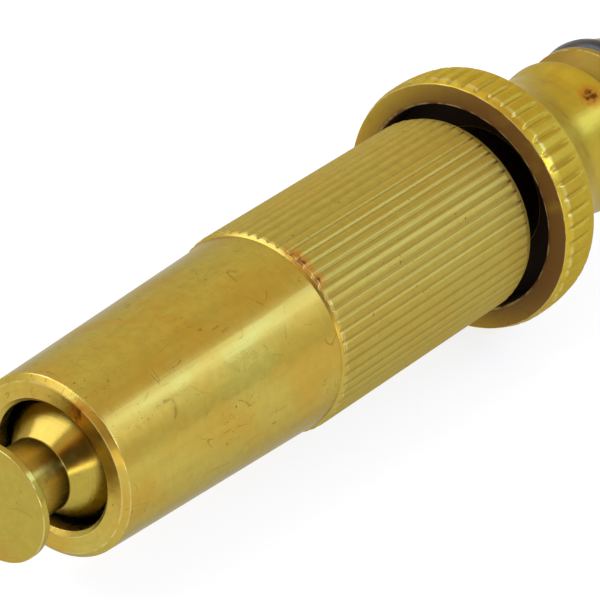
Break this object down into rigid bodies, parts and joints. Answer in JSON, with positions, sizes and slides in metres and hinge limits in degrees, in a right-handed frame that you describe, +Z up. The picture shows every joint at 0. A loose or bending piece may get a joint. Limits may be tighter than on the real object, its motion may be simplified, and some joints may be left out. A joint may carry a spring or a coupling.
{
  "type": "hose spray nozzle",
  "caption": "Turned brass twist nozzle: a knurled barrel screws along a hollow stem over a flared spray pin, with a knurled collar and click-on hose nose behind.",
  "frame": {"origin": "on the nozzle's axis, at the middle of the plain land in front of the hose seal on the click-on nose", "axes": "+X along the axis from the spray end to the hose end, +Z up"},
  "size_m": [0.0958, 0.0258, 0.0258],
  "materials": {
    "turned_brass": "satin, turned and knurled, lightly tarnished",
    "pin_brass": "bright turned",
    "black_rubber": "smooth moulded, slightly greased",
    "spring_steel": "bright spring wire",
    "fibre_washer": "pressed fibre, matte"
  },
  "bodies": {
    "stem_assembly": {"stem": "turned_brass", "spray_pin": "pin_brass", "front_seal": "black_rubber", "barrel_seal": "black_rubber", "connector_washer": "fibre_washer", "hose_connector": "turned_brass", "hose_seal": "black_rubber"},
    "sliding_ring": {"retaining_ring": "spring_steel"},
    "barrel": {"barrel": "turned_brass"}
  },
  "joints": [
    {"name": "barrel_travel", "type": "slide", "parent": "stem_assembly", "child": "sliding_ring", "axis": [-1, 0, 0], "range_m": [-0.002, 0.006]},
    {"name": "barrel_turn", "type": "hinge", "parent": "sliding_ring", "child": "barrel", "pos_m": [0, 0, 0], "axis": [-1, 0, 0], "range_deg": [-360, 1080]}
  ],
  "couplings": [
    {"joint": "barrel_travel", "follows": "barrel_turn", "m_per_rad": 0.00031831}
  ]
}
